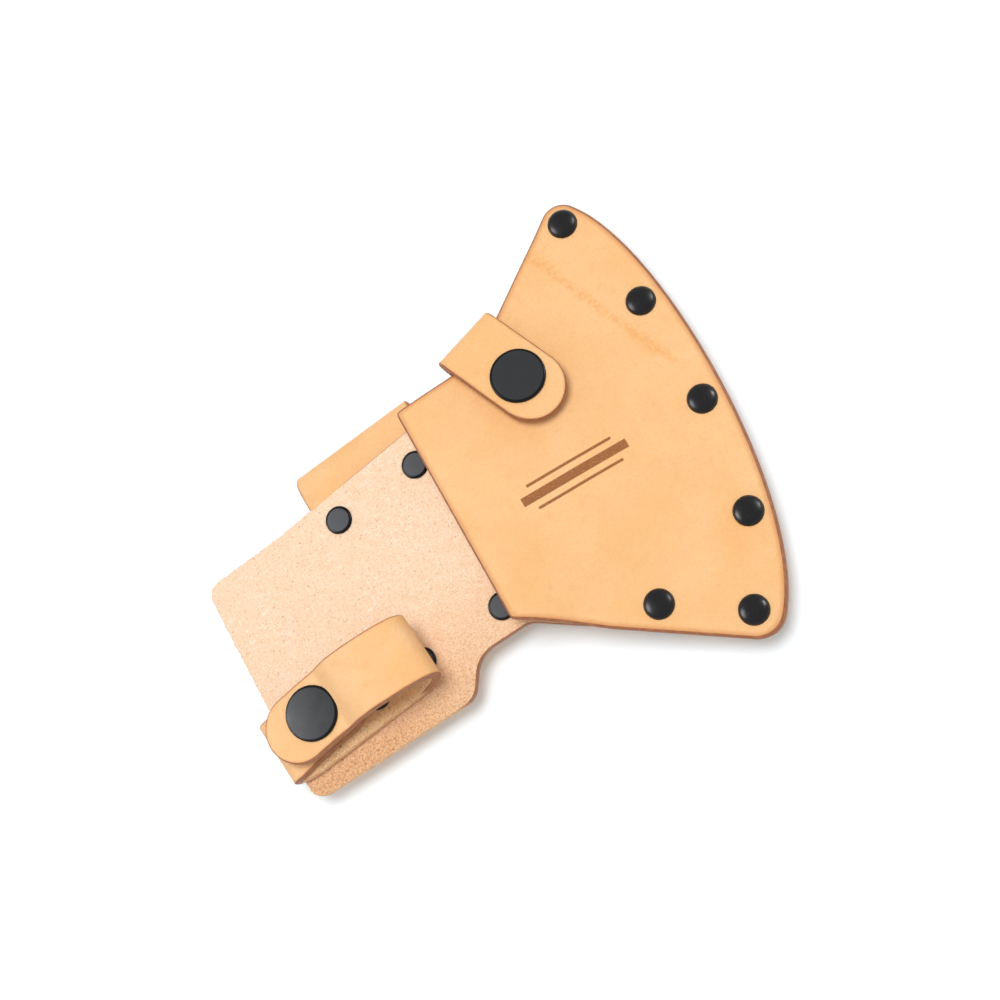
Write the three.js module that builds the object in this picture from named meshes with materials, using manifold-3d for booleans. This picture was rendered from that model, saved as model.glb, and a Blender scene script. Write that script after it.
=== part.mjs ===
// Leather sheath for a felling axe head, lying on its back.
// Millimetres, +Z up. +X runs from the poll flap to the cutting edge, +Y to the top edge as carried.
// The sheath is laid out in a plan frame, and the finished group is shifted at the end so that
// its origin is the bottom centre of its bounding box.
import * as THREE from 'three';
import { mergeVertices } from 'three/addons/utils/BufferGeometryUtils.js';
import Module from 'manifold-3d';

const wasm = await Module();
wasm.setup();

// ---- Driving dimensions ---------------------------------------------------------------------
const LEATHER = 2.9;          // thickness of the panels, the welt and the two snap straps
const LAYER_GAP = 0.1;        // air left between leather layers that lie on each other
const LAYER_PITCH = LEATHER + LAYER_GAP;
const FLAP_HEIGHT = 8;        // underside of the back panel over the belt loop
const BEND_START = -7;        // x where the back panel starts to dip towards the cutting edge
const BEND_END = 9;           // x where the dip has reached its full slope
const DIP_SLOPE = 0.105;      // slope of both panels past the bend
const MOUTH_X = -10;          // straight free edge of the front panel
const MOUTH_LIFT = 5;         // how far the front panel stands above the welt height at the mouth
const HOLE_CLEARANCE = 0.3;   // radial room round a rivet shaft in the leather

const STRAP_WIDTH = 19;       // both snap straps
const STRAP_END_RADIUS = STRAP_WIDTH / 2;

const BELT_STRIP = { thickness: 2.6, width: 40, turn: 2.4, centre: [-26.8, -3.8] };
const BELT_RIVETS = { halfPitchX: 13.2, halfPitchY: 23.4 };

const BLADE_RIVETS = [[53.9, 54.2], [60.8, 23.4], [60.9, -8.7], [55.8, -40.7], [44, -63.4], [24.2, -49.6]];
const BLADE_CAP = { radius: 4.1, height: 1.9 };     // domed cap on the grain side
const FLAT_CAP = { radius: 3.9, height: 1.1 };      // flatter cap on the flesh and rear sides
const SHAFT_RADIUS = 1.5;
const PIN_RADIUS = 0.9;

const SNAP = {
  capRadius: 7.5, capHeight: 1.5, flangeRadius: 6, flangeThickness: 0.8,
  nippleRadius: 2.8, socketInner: 3.1, gap: 2.7, shaft: 1.3, hole: 1.7, edgeDistance: 12.5,
};

const CLOSURE = {
  heading: -67, foldAt: [17, 34.5], snapFromFold: 15.2, riser: -4.2, rearRivets: [9, 20], rearLength: 27,
};
const HANDLE = { y: -26.9, snapX: -69.1, tipX: -82.8, rivet: [-53.8, -29.6] };

// ---- Colours --------------------------------------------------------------------------------
const looks = {
  grain: { color: 0xf5c287, roughness: 0.55, metalness: 0 },
  flesh: { color: 0xf3d6b4, roughness: 0.9, metalness: 0 },
  welt: { color: 0xc58f66, roughness: 0.7, metalness: 0 },
  black: { color: 0x17181a, roughness: 0.3, metalness: 0.6 },
};

// ---- Solids ---------------------------------------------------------------------------------
function toSolid(geometry) {
  const bare = geometry.clone();
  bare.deleteAttribute('normal');
  bare.deleteAttribute('uv');
  const merged = mergeVertices(bare, 1e-5);
  return new wasm.Manifold(new wasm.Mesh({
    numProp: 3,
    vertProperties: new Float32Array(merged.attributes.position.array),
    triVerts: new Uint32Array(merged.index.array),
  }));
}

function toGeometry(solid) {
  const { vertProperties, triVerts } = solid.getMesh();
  const geometry = new THREE.BufferGeometry();
  geometry.setAttribute('position', new THREE.BufferAttribute(vertProperties, 3));
  geometry.setIndex(new THREE.BufferAttribute(triVerts, 1));
  geometry.computeVertexNormals();
  return geometry;
}

function prism(points, low, high) {
  const geometry = new THREE.ExtrudeGeometry(new THREE.Shape(points), { depth: high - low, bevelEnabled: false });
  return toSolid(geometry.translate(0, 0, low));
}

function lathe(profile, segments = 14) {
  const points = profile.map(([radius, height]) => new THREE.Vector2(radius, height));
  // LatheGeometry turns about Y, so its axis is laid along +Z here.
  return toSolid(new THREE.LatheGeometry(points, segments).rotateX(Math.PI / 2));
}

// Round holes along the local Z of each frame.
function punch(solid, frames, radius, low = -25, high = 25) {
  return frames.reduce((rest, frame) => {
    const drill = new THREE.CylinderGeometry(radius, radius, high - low, 16)
      .rotateX(Math.PI / 2)
      .translate(0, 0, (low + high) / 2);
    return rest.subtract(toSolid(drill.applyMatrix4(frame)));
  }, solid);
}

function upright(x, y, z = 0) {
  return new THREE.Matrix4().makeTranslation(x, y, z);
}

// A closed sheet over a grid of plan positions, between two height functions.
function sheet(lowAt, highAt, xs, ys) {
  const columns = ys.length;
  const layer = xs.length * columns;
  const positions = [];
  for (const heightAt of [lowAt, highAt]) {
    for (const x of xs) {
      for (const y of ys) positions.push(x, y, heightAt(x, y));
    }
  }
  const index = [];
  const quad = (a, b, c, d) => index.push(a, b, c, a, c, d);
  for (let i = 0; i < xs.length - 1; i++) {
    for (let j = 0; j < columns - 1; j++) {
      const a = i * columns + j;
      const b = a + columns;
      quad(a, a + 1, b + 1, b);
      quad(layer + a, layer + b, layer + b + 1, layer + a + 1);
    }
  }
  for (let i = 0; i < xs.length - 1; i++) {
    const a = i * columns;
    const b = a + columns;
    const end = columns - 1;
    quad(a, b, layer + b, layer + a);
    quad(b + end, a + end, layer + a + end, layer + b + end);
  }
  for (let j = 0; j < columns - 1; j++) {
    const last = (xs.length - 1) * columns + j;
    quad(j + 1, j, layer + j, layer + j + 1);
    quad(last, last + 1, layer + last + 1, layer + last);
  }
  const geometry = new THREE.BufferGeometry();
  geometry.setAttribute('position', new THREE.Float32BufferAttribute(positions, 3));
  geometry.setIndex(index);
  return toSolid(geometry);
}

// ---- Plan outlines --------------------------------------------------------------------------
// Corners are [x, y, fillet radius]; the fillet becomes short chords of about ten degrees.
function filleted(corners, closed = true) {
  const points = [];
  corners.forEach(([x, y, radius = 0], i) => {
    const here = new THREE.Vector2(x, y);
    const isEnd = !closed && (i === 0 || i === corners.length - 1);
    if (radius === 0 || isEnd) {
      points.push(here);
      return;
    }
    const count = corners.length;
    const before = new THREE.Vector2(...corners[(i + count - 1) % count].slice(0, 2)).sub(here).normalize();
    const after = new THREE.Vector2(...corners[(i + 1) % count].slice(0, 2)).sub(here).normalize();
    const half = Math.acos(THREE.MathUtils.clamp(before.dot(after), -1, 1)) / 2;
    const centre = here.clone().addScaledVector(before.clone().add(after).normalize(), radius / Math.sin(half));
    const from = here.clone().addScaledVector(before, radius / Math.tan(half)).sub(centre);
    const to = here.clone().addScaledVector(after, radius / Math.tan(half)).sub(centre);
    const start = from.angle();
    const sweep = Math.atan2(from.cross(to), from.dot(to));
    const steps = Math.max(2, Math.ceil(Math.abs(sweep) / (Math.PI / 18)));
    for (let step = 0; step <= steps; step++) {
      const angle = start + (sweep * step) / steps;
      points.push(new THREE.Vector2(radius * Math.cos(angle), radius * Math.sin(angle)).add(centre));
    }
  });
  return points;
}

// The cutting-edge side of both panels: one long curve from the tip to the lower corner.
const CRESCENT = [[58.7, 56.8], [72.9, 32], [68.8, -44.7], [49.7, -67.5]];
const LOWER_CORNER = [45.9, -72.8, 6.6];
const TIP_CORNER = [55.8, 63.5, 5.6];
const TOP_HOLLOW = [15.5, 31.9, 30];

function crescent(inset = 0) {
  const [a, b, c, d] = CRESCENT.map(([x, y]) => new THREE.Vector2(x - inset, y));
  return new THREE.CubicBezierCurve(a, b, c, d).getPoints(24);
}

function bladeOutline(rearCorners) {
  const lead = [...CRESCENT[3]];
  const tail = [...CRESCENT[0]];
  const corners = [lead, LOWER_CORNER, ...rearCorners, TOP_HOLLOW, TIP_CORNER, tail];
  return [...filleted(corners, false), ...crescent().slice(1, -1)];
}

const frontOutline = bladeOutline([[-4.5, -37, 12], [MOUTH_X, -33.6, 1.2], [MOUTH_X, 30.4, 1.2]]);

const flapCorners = [
  [-8.5, -34.2, 7],                       // notch behind the bit's heel
  [-25, -34.4, 9],
  [-31.5, -43.9, 6],                      // rounded lobe of the flap
  [-84, -44.6, 4.5],
  [-84.6, 23.6, 4],
  [-60, 24.6, 200],
  [-14, 29.6, 60],
];
const backOutline = bladeOutline(flapCorners);

// ---- Panel heights --------------------------------------------------------------------------
function backUnderside(x) {
  if (x <= BEND_START) return FLAP_HEIGHT;
  const bend = BEND_END - BEND_START;
  if (x < BEND_END) return FLAP_HEIGHT - (DIP_SLOPE * (x - BEND_START) ** 2) / (2 * bend);
  return FLAP_HEIGHT - DIP_SLOPE * (bend / 2 + x - BEND_END);
}

// The welt's inner edge is close to an arc along the cutting edge and a line along the bottom.
const WELT_ARC = { centre: [-115.5, 5.8], radius: 169 };
const WELT_FOOT = { from: [16, -51.5], to: [45, -70], reach: 15 };

function roomInsideWelt(x, y) {
  const fromEdge = WELT_ARC.radius - Math.hypot(x - WELT_ARC.centre[0], y - WELT_ARC.centre[1]);
  const foot = new THREE.Line3(new THREE.Vector3(...WELT_FOOT.from, 0), new THREE.Vector3(...WELT_FOOT.to, 0));
  const here = new THREE.Vector3(x, y, 0);
  const fromFoot = here.distanceTo(foot.closestPointToPoint(here, true, new THREE.Vector3())) - WELT_FOOT.reach;
  return Math.max(0, Math.min(fromEdge, fromFoot));
}

// The front panel rises from the welt to the mouth, as the wedge of an axe's bit does.
function mouthLift(x, y) {
  const room = roomInsideWelt(x, y);
  const toMouth = Math.max(0, x - MOUTH_X);
  return room === 0 ? 0 : (MOUTH_LIFT * room) / (room + toMouth);
}

const backTop = (x) => backUnderside(x) + LEATHER;
const weltLow = (x) => backUnderside(x) + LAYER_PITCH;
const frontUnderside = (x, y) => backUnderside(x) + 2 * LAYER_PITCH + mouthLift(x, y);
const frontTop = (x, y) => frontUnderside(x, y) + LEATHER;

// A frame on a panel surface: +Z is its normal, +X points along the plan heading in degrees.
function surfaceFrame(x, y, heightAt, heading = 0) {
  const step = 0.5;
  const slopeX = (heightAt(x + step, y) - heightAt(x - step, y)) / (2 * step);
  const slopeY = (heightAt(x, y + step) - heightAt(x, y - step)) / (2 * step);
  const normal = new THREE.Vector3(-slopeX, -slopeY, 1).normalize();
  const angle = THREE.MathUtils.degToRad(heading);
  const forward = new THREE.Vector3(Math.cos(angle), Math.sin(angle), 0);
  const side = new THREE.Vector3().crossVectors(normal, forward).normalize();
  forward.crossVectors(side, normal);
  return new THREE.Matrix4().makeBasis(forward, side, normal).setPosition(x, y, heightAt(x, y));
}

// ---- Straps ---------------------------------------------------------------------------------
// A band of even thickness along a side-view route of [along, up], as wide as the strap.
function band(route, thickness, width) {
  const centre = route.map(([along, up]) => new THREE.Vector2(along, up));
  const left = [];
  const right = [];
  centre.forEach((point, i) => {
    const before = centre[Math.max(0, i - 1)];
    const after = centre[Math.min(centre.length - 1, i + 1)];
    const normal = after.clone().sub(before).normalize().rotateAround(new THREE.Vector2(), Math.PI / 2);
    left.push(point.clone().addScaledVector(normal, thickness / 2));
    right.unshift(point.clone().addScaledVector(normal, -thickness / 2));
  });
  const side = new THREE.ExtrudeGeometry(new THREE.Shape([...left, ...right]), { depth: width, bevelEnabled: false });
  // The outline is drawn in X and Y and pushed along Z; turned upright, its depth runs along Y.
  return toSolid(side.rotateX(Math.PI / 2).translate(0, width / 2, 0));
}

function arcRoute(centreAlong, centreUp, radius, fromDegrees, toDegrees, steps = 6) {
  return Array.from({ length: steps + 1 }, (_, i) => {
    const angle = THREE.MathUtils.degToRad(fromDegrees + ((toDegrees - fromDegrees) * i) / steps);
    return [centreAlong + radius * Math.cos(angle), centreUp + radius * Math.sin(angle)];
  });
}

// Plan shape of a strap with one or two round ends, used to trim a band.
function roundEnd(tip, direction, reach) {
  const inner = tip - direction * STRAP_END_RADIUS;
  const far = tip - direction * reach;
  const half = STRAP_WIDTH / 2 + 1;
  const arc = Array.from({ length: 15 }, (_, i) => {
    const angle = -Math.PI / 2 + (Math.PI * i) / 14;
    return new THREE.Vector2(
      inner + direction * STRAP_END_RADIUS * Math.cos(angle),
      STRAP_END_RADIUS * Math.sin(angle),
    );
  });
  return [
    new THREE.Vector2(far, -half), new THREE.Vector2(inner, -half), ...arc,
    new THREE.Vector2(inner, half), new THREE.Vector2(far, half),
  ];
}

// ---- Metalwork ------------------------------------------------------------------------------
const SEAT = 0.05;             // air under each cap

function domedProfile(radius, height) {
  const rim = 0.35;
  const dome = Array.from({ length: 4 }, (_, i) => {
    const angle = (Math.PI / 2) * (i / 3);
    return [radius * Math.cos(angle), rim + (height - rim) * Math.sin(angle)];
  });
  dome[3][0] = 0;
  return [[radius - 0.3, 0], ...dome];
}

// Cap with a short tube: its origin is on the upper leather face, its tube points down.
function rivetCap(cap, stack) {
  const tube = stack * 0.45;
  const bore = PIN_RADIUS + 0.2;
  return lathe([
    [0, 0.4], [bore, 0.4], [bore, -tube], [SHAFT_RADIUS, -tube], [SHAFT_RADIUS, 0],
    ...domedProfile(cap.radius, cap.height),
  ]).translate([0, 0, SEAT]);
}

// Post with its own cap below the leather and a pin that reaches into the tube of the upper cap.
function rivetPost(cap, stack) {
  const profile = domedProfile(cap.radius, cap.height).map(([radius, height]) => [radius, -height]).reverse();
  return lathe([
    ...profile, [SHAFT_RADIUS, 0], [SHAFT_RADIUS, stack * 0.45], [PIN_RADIUS, stack * 0.45],
    [PIN_RADIUS, stack - 0.2], [0, stack - 0.2],
  ]).translate([0, 0, -stack - SEAT]);
}

function snapCap() {
  const { capRadius, capHeight, shaft } = SNAP;
  const reach = LEATHER + 0.5;
  return lathe([
    [0, -reach], [shaft, -reach], [shaft, 0], [capRadius - 0.4, 0], [capRadius, 0.5],
    [capRadius - 0.1, 1], [capRadius - 0.6, 1.35], [capRadius - 1.6, capHeight], [0, capHeight],
  ], 24).translate([0, 0, SEAT]);
}

function snapSocket() {
  const { flangeRadius, socketInner, gap, shaft } = SNAP;
  const low = -gap + 1.2;
  return lathe([
    [shaft + 0.2, -0.1], [shaft + 0.2, -0.6], [socketInner, -0.6], [socketInner, low],
    [socketInner + 1.2, low], [flangeRadius - 0.6, low + 0.7], [flangeRadius, -0.1], [shaft + 0.2, -0.1],
  ], 20);
}

function snapStud() {
  const { flangeRadius, flangeThickness, nippleRadius, shaft, gap } = SNAP;
  const top = gap - 0.9;
  const inner = shaft + 0.2;
  return lathe([
    [inner, 0], [flangeRadius, 0], [flangeRadius, flangeThickness - 0.2], [flangeRadius - 0.3, flangeThickness],
    [nippleRadius - 0.2, flangeThickness], [nippleRadius, top - 0.4], [nippleRadius - 0.5, top],
    [inner, top], [inner, 0],
  ], 20).translate([0, 0, SEAT]);
}

// Flanged post under the lower leather: its pin comes up through the leather into the stud.
function snapPost(gap) {
  const { shaft } = SNAP;
  const flange = 5;
  return lathe([
    [0, -gap], [flange - 0.3, -gap], [flange, -gap + 0.3], [flange, 0], [shaft, 0],
    [shaft, LEATHER + 1.6], [0, LEATHER + 1.6],
  ], 20).translate([0, 0, -LEATHER - SEAT]);
}

// ---- Scene graph ----------------------------------------------------------------------------
const sheath = new THREE.Group();
const materials = Object.fromEntries(
  Object.entries(looks).map(([name, look]) => [name, new THREE.MeshStandardMaterial(look)]),
);

function addPart(name, solid, look, matrix = new THREE.Matrix4(), parent = sheath) {
  const mesh = new THREE.Mesh(toGeometry(solid), materials[look].clone());
  mesh.name = name;
  mesh.applyMatrix4(matrix);
  parent.add(mesh);
}

// Panels and welt.
const GRID_X = [-90, -12, BEND_START, -3, 1, 5, BEND_END, 17, 25, 33, 41, 49, 57, 74];
const GRID_Y = Array.from({ length: 25 }, (_, i) => -76 + 6 * i);

const turn = THREE.MathUtils.degToRad(BELT_STRIP.turn);
const beltFrame = new THREE.Matrix4().makeRotationZ(turn).setPosition(...BELT_STRIP.centre, 0);
const beltRivets = [[-1, 1], [1, 1], [1, -1], [-1, -1]].map(([signX, signY]) => {
  const place = new THREE.Vector3(signX * BELT_RIVETS.halfPitchX, signY * BELT_RIVETS.halfPitchY, 0);
  place.applyMatrix4(beltFrame);
  return upright(place.x, place.y, backTop(place.x));
});
const bladeRivets = BLADE_RIVETS.map(([x, y]) => surfaceFrame(x, y, frontTop));

const closureAngle = THREE.MathUtils.degToRad(CLOSURE.heading);
const alongClosure = (distance) => [
  CLOSURE.foldAt[0] + distance * Math.cos(closureAngle),
  CLOSURE.foldAt[1] + distance * Math.sin(closureAngle),
];
const closureRivets = CLOSURE.rearRivets.map((along) => surfaceFrame(...alongClosure(along), backTop, CLOSURE.heading));
const closureSnap = surfaceFrame(...alongClosure(CLOSURE.snapFromFold), frontTop, CLOSURE.heading);
const handleRivet = upright(...HANDLE.rivet, FLAP_HEIGHT + 2 * LAYER_PITCH - LAYER_GAP);

const shaftHole = SHAFT_RADIUS + HOLE_CLEARANCE;
const backHoles = [...bladeRivets, ...beltRivets, ...closureRivets, handleRivet];
const backBlank = sheet(backUnderside, backTop, GRID_X, [GRID_Y[0], GRID_Y.at(-1)]);
addPart('back_panel', punch(backBlank.intersect(prism(backOutline, -5, 40)), backHoles, shaftHole), 'flesh');

const frontBlank = sheet(frontUnderside, frontTop, GRID_X, GRID_Y).intersect(prism(frontOutline, -5, 40));
const frontPunched = punch(frontBlank, bladeRivets, shaftHole);
addPart('front_panel', punch(frontPunched, [closureSnap], SNAP.hole), 'grain');

const weltInner = filleted([
  [14.5, -45, 0], [14.5, -60, 0], [60, -90, 0], [90, -60, 0], [90, 80, 0], [47, 70, 0], [46.5, 54, 0],
  [52.5, 36, 30], [54.2, 4, 120], [50, -40, 40], [42, -55.5, 6], [28, -43, 8],
]);
const weltBlank = sheet(weltLow, (x) => weltLow(x) + LEATHER, GRID_X, [GRID_Y[0], GRID_Y.at(-1)]);
const weltSolid = weltBlank.intersect(prism(frontOutline, -5, 40)).intersect(prism(weltInner, -5, 40));
addPart('welt', punch(weltSolid, bladeRivets, shaftHole), 'welt');

// Blade rivets go through front panel, welt and back panel.
const bladeStack = 2 * LAYER_PITCH + LEATHER;
bladeRivets.forEach((frame, i) => {
  addPart(`blade_rivet_${i + 1}_cap`, rivetCap(BLADE_CAP, bladeStack), 'black', frame);
  addPart(`blade_rivet_${i + 1}_post`, rivetPost(FLAT_CAP, bladeStack), 'black', frame);
});

// Belt loop: a strip folded like a hairpin, both ends riveted to the back panel.
const innerUp = FLAP_HEIGHT - LAYER_GAP - BELT_STRIP.thickness / 2;
const outerUp = BELT_STRIP.thickness / 2;
const foldRadius = (innerUp - outerUp) / 2;
const beltFold = 39.2;
const beltRoute = [
  [-29.4, innerUp], [-17.5, innerUp], [-14.5, innerUp - 0.5], [-8, outerUp + 0.5], [-5, outerUp], [beltFold, outerUp],
  ...arcRoute(beltFold, outerUp + foldRadius, foldRadius, -90, 90, 8).slice(1, -1),
  [beltFold, innerUp], [16.2, innerUp],
];
const beltStrip = band(beltRoute, BELT_STRIP.thickness, BELT_STRIP.width);
const beltUpright = new THREE.Matrix4().makeRotationZ(Math.PI / 2);
const beltSolid = beltStrip.transform(beltUpright.toArray()).transform(beltFrame.toArray());
addPart('belt_loop', punch(beltSolid, beltRivets, shaftHole, -7.2, 1), 'grain');

const beltStack = LEATHER + LAYER_GAP + BELT_STRIP.thickness;
beltRivets.forEach((frame, i) => {
  addPart(`belt_rivet_${i + 1}_cap`, rivetCap(FLAT_CAP, beltStack), 'black', frame);
  addPart(`belt_rivet_${i + 1}_post`, rivetPost(FLAT_CAP, beltStack), 'black', frame);
});

// Closure strap: riveted behind the back panel, folded over the top edge and snapped in front.
const REAR_DATUM = 14;
const rearFrame = surfaceFrame(...alongClosure(REAR_DATUM), backUnderside, CLOSURE.heading);
const toRear = (distance) => distance - REAR_DATUM;
const rearUp = -LAYER_GAP - LEATHER / 2;
const riserAlong = toRear(CLOSURE.riser);
const cornerRadius = 3;
const riserTop = 9.6;
const rootRoute = [
  [toRear(CLOSURE.rearLength), rearUp],
  ...arcRoute(riserAlong + cornerRadius, rearUp + cornerRadius, cornerRadius, -90, -180),
  [riserAlong, riserTop],
];
const rootBand = band(rootRoute, LEATHER, STRAP_WIDTH);
const rootPlan = prism(roundEnd(toRear(CLOSURE.rearLength), 1, 60), -20, 40);
const rootSolid = rootBand.intersect(rootPlan).transform(rearFrame.toArray());
addPart('closure_strap_root', punch(rootSolid, closureRivets, shaftHole), 'grain');

const flapUp = SNAP.gap + LEATHER / 2;
const flapRiser = CLOSURE.riser - CLOSURE.snapFromFold;
const flapRoute = [
  [flapRiser, flapUp - 5.2],
  ...arcRoute(flapRiser + cornerRadius, flapUp - cornerRadius, cornerRadius, 180, 90),
  [SNAP.edgeDistance, flapUp],
];
const flapPlan = prism(roundEnd(SNAP.edgeDistance, 1, 60), -20, 40);
const flapBand = band(flapRoute, LEATHER, STRAP_WIDTH).intersect(flapPlan);
addPart('closure_strap_flap', punch(flapBand, [upright(0, 0)], SNAP.hole), 'grain', closureSnap);

closureRivets.forEach((frame, i) => {
  addPart(`closure_rivet_${i + 1}_cap`, rivetCap(FLAT_CAP, 2 * LAYER_PITCH - LAYER_GAP), 'black', frame);
  addPart(`closure_rivet_${i + 1}_post`, rivetPost(FLAT_CAP, 2 * LAYER_PITCH - LAYER_GAP), 'black', frame);
});

function addSnap(prefix, frame, flange) {
  const above = new THREE.Matrix4().makeTranslation(0, 0, SNAP.gap);
  const capSeat = new THREE.Matrix4().makeTranslation(0, 0, SNAP.gap + LEATHER);
  addPart(`${prefix}_cap`, snapCap(), 'black', frame.clone().multiply(capSeat));
  addPart(`${prefix}_socket`, snapSocket(), 'black', frame.clone().multiply(above));
  addPart(`${prefix}_stud`, snapStud(), 'black', frame);
  addPart(`${prefix}_post`, snapPost(flange), 'black', frame);
}
addSnap('closure_snap', closureSnap, 0.7);

// Handle strap: riveted on the flap, folded up at both ends, its ends snapped over each other.
const flapTop = FLAP_HEIGHT + LEATHER;
const bottomUp = flapTop + LAYER_GAP + LEATHER / 2;
const lowerEndUp = bottomUp + LEATHER + 0.6;
const upperEndUp = lowerEndUp + LEATHER + SNAP.gap;
const leftFoldX = -83.7;
const leftRadius = (lowerEndUp - bottomUp) / 2;
const seam = { x: -37.6, up: 17.65 };
const baseRoute = [
  [-55.8, lowerEndUp + 2.4], [-58.6, lowerEndUp + 1.2], [-61, lowerEndUp + 0.3], [-62, lowerEndUp],
  ...arcRoute(leftFoldX, bottomUp + leftRadius, leftRadius, 90, 270, 8),
  [-47.5, bottomUp], [-43.6, bottomUp + 1], [-40.2, bottomUp + 3.05], [seam.x - 0.3, seam.up - 0.25],
];
const handleRoute = [
  [seam.x + 0.3, seam.up + 0.25], [-35.9, 19.5], [-34.9, 21.3], [-34.6, 23], [-35.1, 24.8], [-36.5, 26.2],
  [-38.9, 27.1], [-42.5, 27.5],
  [-47, 27.2], [-51.5, 26.4], [-55, 25.1], [-58, 23.4], [-60.2, upperEndUp + 0.6], [-61.6, upperEndUp],
  [HANDLE.tipX, upperEndUp],
];
const lowerPlan = prism(roundEnd(-55.8, 1, 60), lowerEndUp - LEATHER / 2 - 0.8, 40)
  .add(prism(roundEnd(-20, 1, 90), 0, lowerEndUp - LEATHER / 2 - 0.7))
  .add(prism(roundEnd(-20, 1, 30), 0, 40));
const handleFrame = new THREE.Matrix4().makeTranslation(0, HANDLE.y, 0);
const baseBand = band(baseRoute, LEATHER, STRAP_WIDTH).intersect(lowerPlan);
const baseSolid = punch(baseBand.transform(handleFrame.toArray()), [handleRivet], shaftHole, -4, 1);
const snapPlace = upright(HANDLE.snapX, HANDLE.y, lowerEndUp + LEATHER / 2);
addPart('handle_strap_base', punch(baseSolid, [snapPlace], SNAP.hole, -LEATHER - 0.5, 1), 'grain');

const handlePlan = prism(roundEnd(HANDLE.tipX, -1, 60), 0, 60);
const handleBand = band(handleRoute, LEATHER, STRAP_WIDTH).intersect(handlePlan);
addPart('handle_strap_flap', punch(handleBand, [upright(HANDLE.snapX, 0)], SNAP.hole, 0, 60), 'grain', handleFrame);

const doubleLayer = 2 * LAYER_PITCH - LAYER_GAP;
addPart('handle_rivet_cap', rivetCap(FLAT_CAP, doubleLayer), 'black', handleRivet);
addPart('handle_rivet_post', rivetPost(FLAT_CAP, doubleLayer), 'black', handleRivet);
addSnap('handle_snap', snapPlace, 0.4);

// Origin at the bottom centre of the bounding box.
const bounds = new THREE.Box3().setFromObject(sheath);
const middle = bounds.getCenter(new THREE.Vector3());
sheath.position.set(-middle.x, -middle.y, -bounds.min.z);

export default sheath;
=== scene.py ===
"""Looks of the leather axe sheath: panels and straps, black rivets and snaps, camera, lights and floor.

Lengths are millimetres in the CAD source's plan frame; to_row() makes them metres of the row frame."""

import math

import bmesh
import bpy
import numpy as np
from mathutils import Matrix, Vector
from mathutils.geometry import delaunay_2d_cdt


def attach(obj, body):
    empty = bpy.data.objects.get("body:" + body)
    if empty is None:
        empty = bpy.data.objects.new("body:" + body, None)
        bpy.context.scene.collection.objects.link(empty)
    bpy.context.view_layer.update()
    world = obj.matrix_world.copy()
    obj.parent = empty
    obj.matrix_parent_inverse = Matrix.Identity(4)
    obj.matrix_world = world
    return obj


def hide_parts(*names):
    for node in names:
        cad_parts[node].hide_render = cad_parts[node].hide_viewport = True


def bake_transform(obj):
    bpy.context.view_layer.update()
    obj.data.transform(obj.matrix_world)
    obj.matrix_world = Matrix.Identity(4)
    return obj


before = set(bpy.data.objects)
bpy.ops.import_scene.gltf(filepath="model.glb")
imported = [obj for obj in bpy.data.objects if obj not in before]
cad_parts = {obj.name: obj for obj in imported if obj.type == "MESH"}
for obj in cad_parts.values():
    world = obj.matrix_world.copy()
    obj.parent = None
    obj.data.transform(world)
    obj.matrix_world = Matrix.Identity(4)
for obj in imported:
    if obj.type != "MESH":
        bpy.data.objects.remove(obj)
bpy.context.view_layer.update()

# ---- Dimensions of the CAD source -----------------------------------------------------------
PLAN_SHIFT = np.array([9.871, 4.992, 0.0])
LEATHER = 2.9  # thickness of panels and straps
AIR = 0.1  # between two layers
PITCH = 3.0  # a layer and its air
FLAP_HEIGHT = 8.0  # the flap's underside above the floor
BEND_START, BEND_END, DIP_SLOPE = -7.0, 9.0, 0.105
MOUTH_X, MOUTH_LIFT = -10.0, 5.0
STRAP_WIDTH = 19.0
BLADE_RIVETS = [(53.9, 54.2), (60.8, 23.4), (60.9, -8.7), (55.8, -40.7), (44, -63.4), (24.2, -49.6)]
BELT_CENTRE, BELT_TURN, BELT_WIDTH, BELT_THICKNESS = (-26.8, -3.8), math.radians(2.4), 40.0, 2.6
BELT_HALF_X, BELT_HALF_Y = 13.2, 23.4  # half the spacing of its rivets
SNAP_GAP = 2.7  # between the two leathers that a snap joins
CLOSURE_HEADING = math.radians(-67)
CLOSURE_FOLD = np.array([17, 34.5])
CLOSURE_SNAP_AT, CLOSURE_RIVETS_AT, CLOSURE_REAR_AT = 15.2, (9, 20), 14  # from the fold, along the heading
HANDLE_Y, HANDLE_SNAP_X = -26.9, -69.1
HANDLE_RIVET = (-53.8, -29.6)

# ---- Dimensions of the visual model only ----------------------------------------------------
CLOSURE_TIP = 13.3  # past the snap
CLOSURE_SKEW = 0.075
CLOSURE_THICKNESS = LEATHER + 0.3
HANDLE_TIP_X = -84.0
HANDLE_CUT_X = -64
DRAWN_IN, DRAWN_REACH = 0.04, 3.2  # how the belt loop narrows at its hairpin
SLANT_TOWARDS, SLANT_GAIN, SLANT_BIAS, SLANT_FROM_X, SLANT_SMOOTHING = [0.52, -0.85], 1.5, 0.4, 6, 5
RAW_EDGE_SCATTER = 0.09
RIM_SPACING = 0.7  # of the points round a sheet's outline
BARREL = 0.05  # how far the middle of a cut edge bulges


def to_row(points):
    return (np.asarray(points, float) + PLAN_SHIFT) / 1000


def unit(v):
    v = np.asarray(v, float)
    return v / np.linalg.norm(v, axis=-1, keepdims=True)


# ---- Panel heights --------------------------------------------------------------------------
def back_underside(x):
    x = np.asarray(x, float)
    bend = BEND_END - BEND_START
    curved = DIP_SLOPE * np.clip(x - BEND_START, 0, bend) ** 2 / (2 * bend)
    return FLAP_HEIGHT - curved - DIP_SLOPE * np.clip(x - BEND_END, 0, None)


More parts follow.
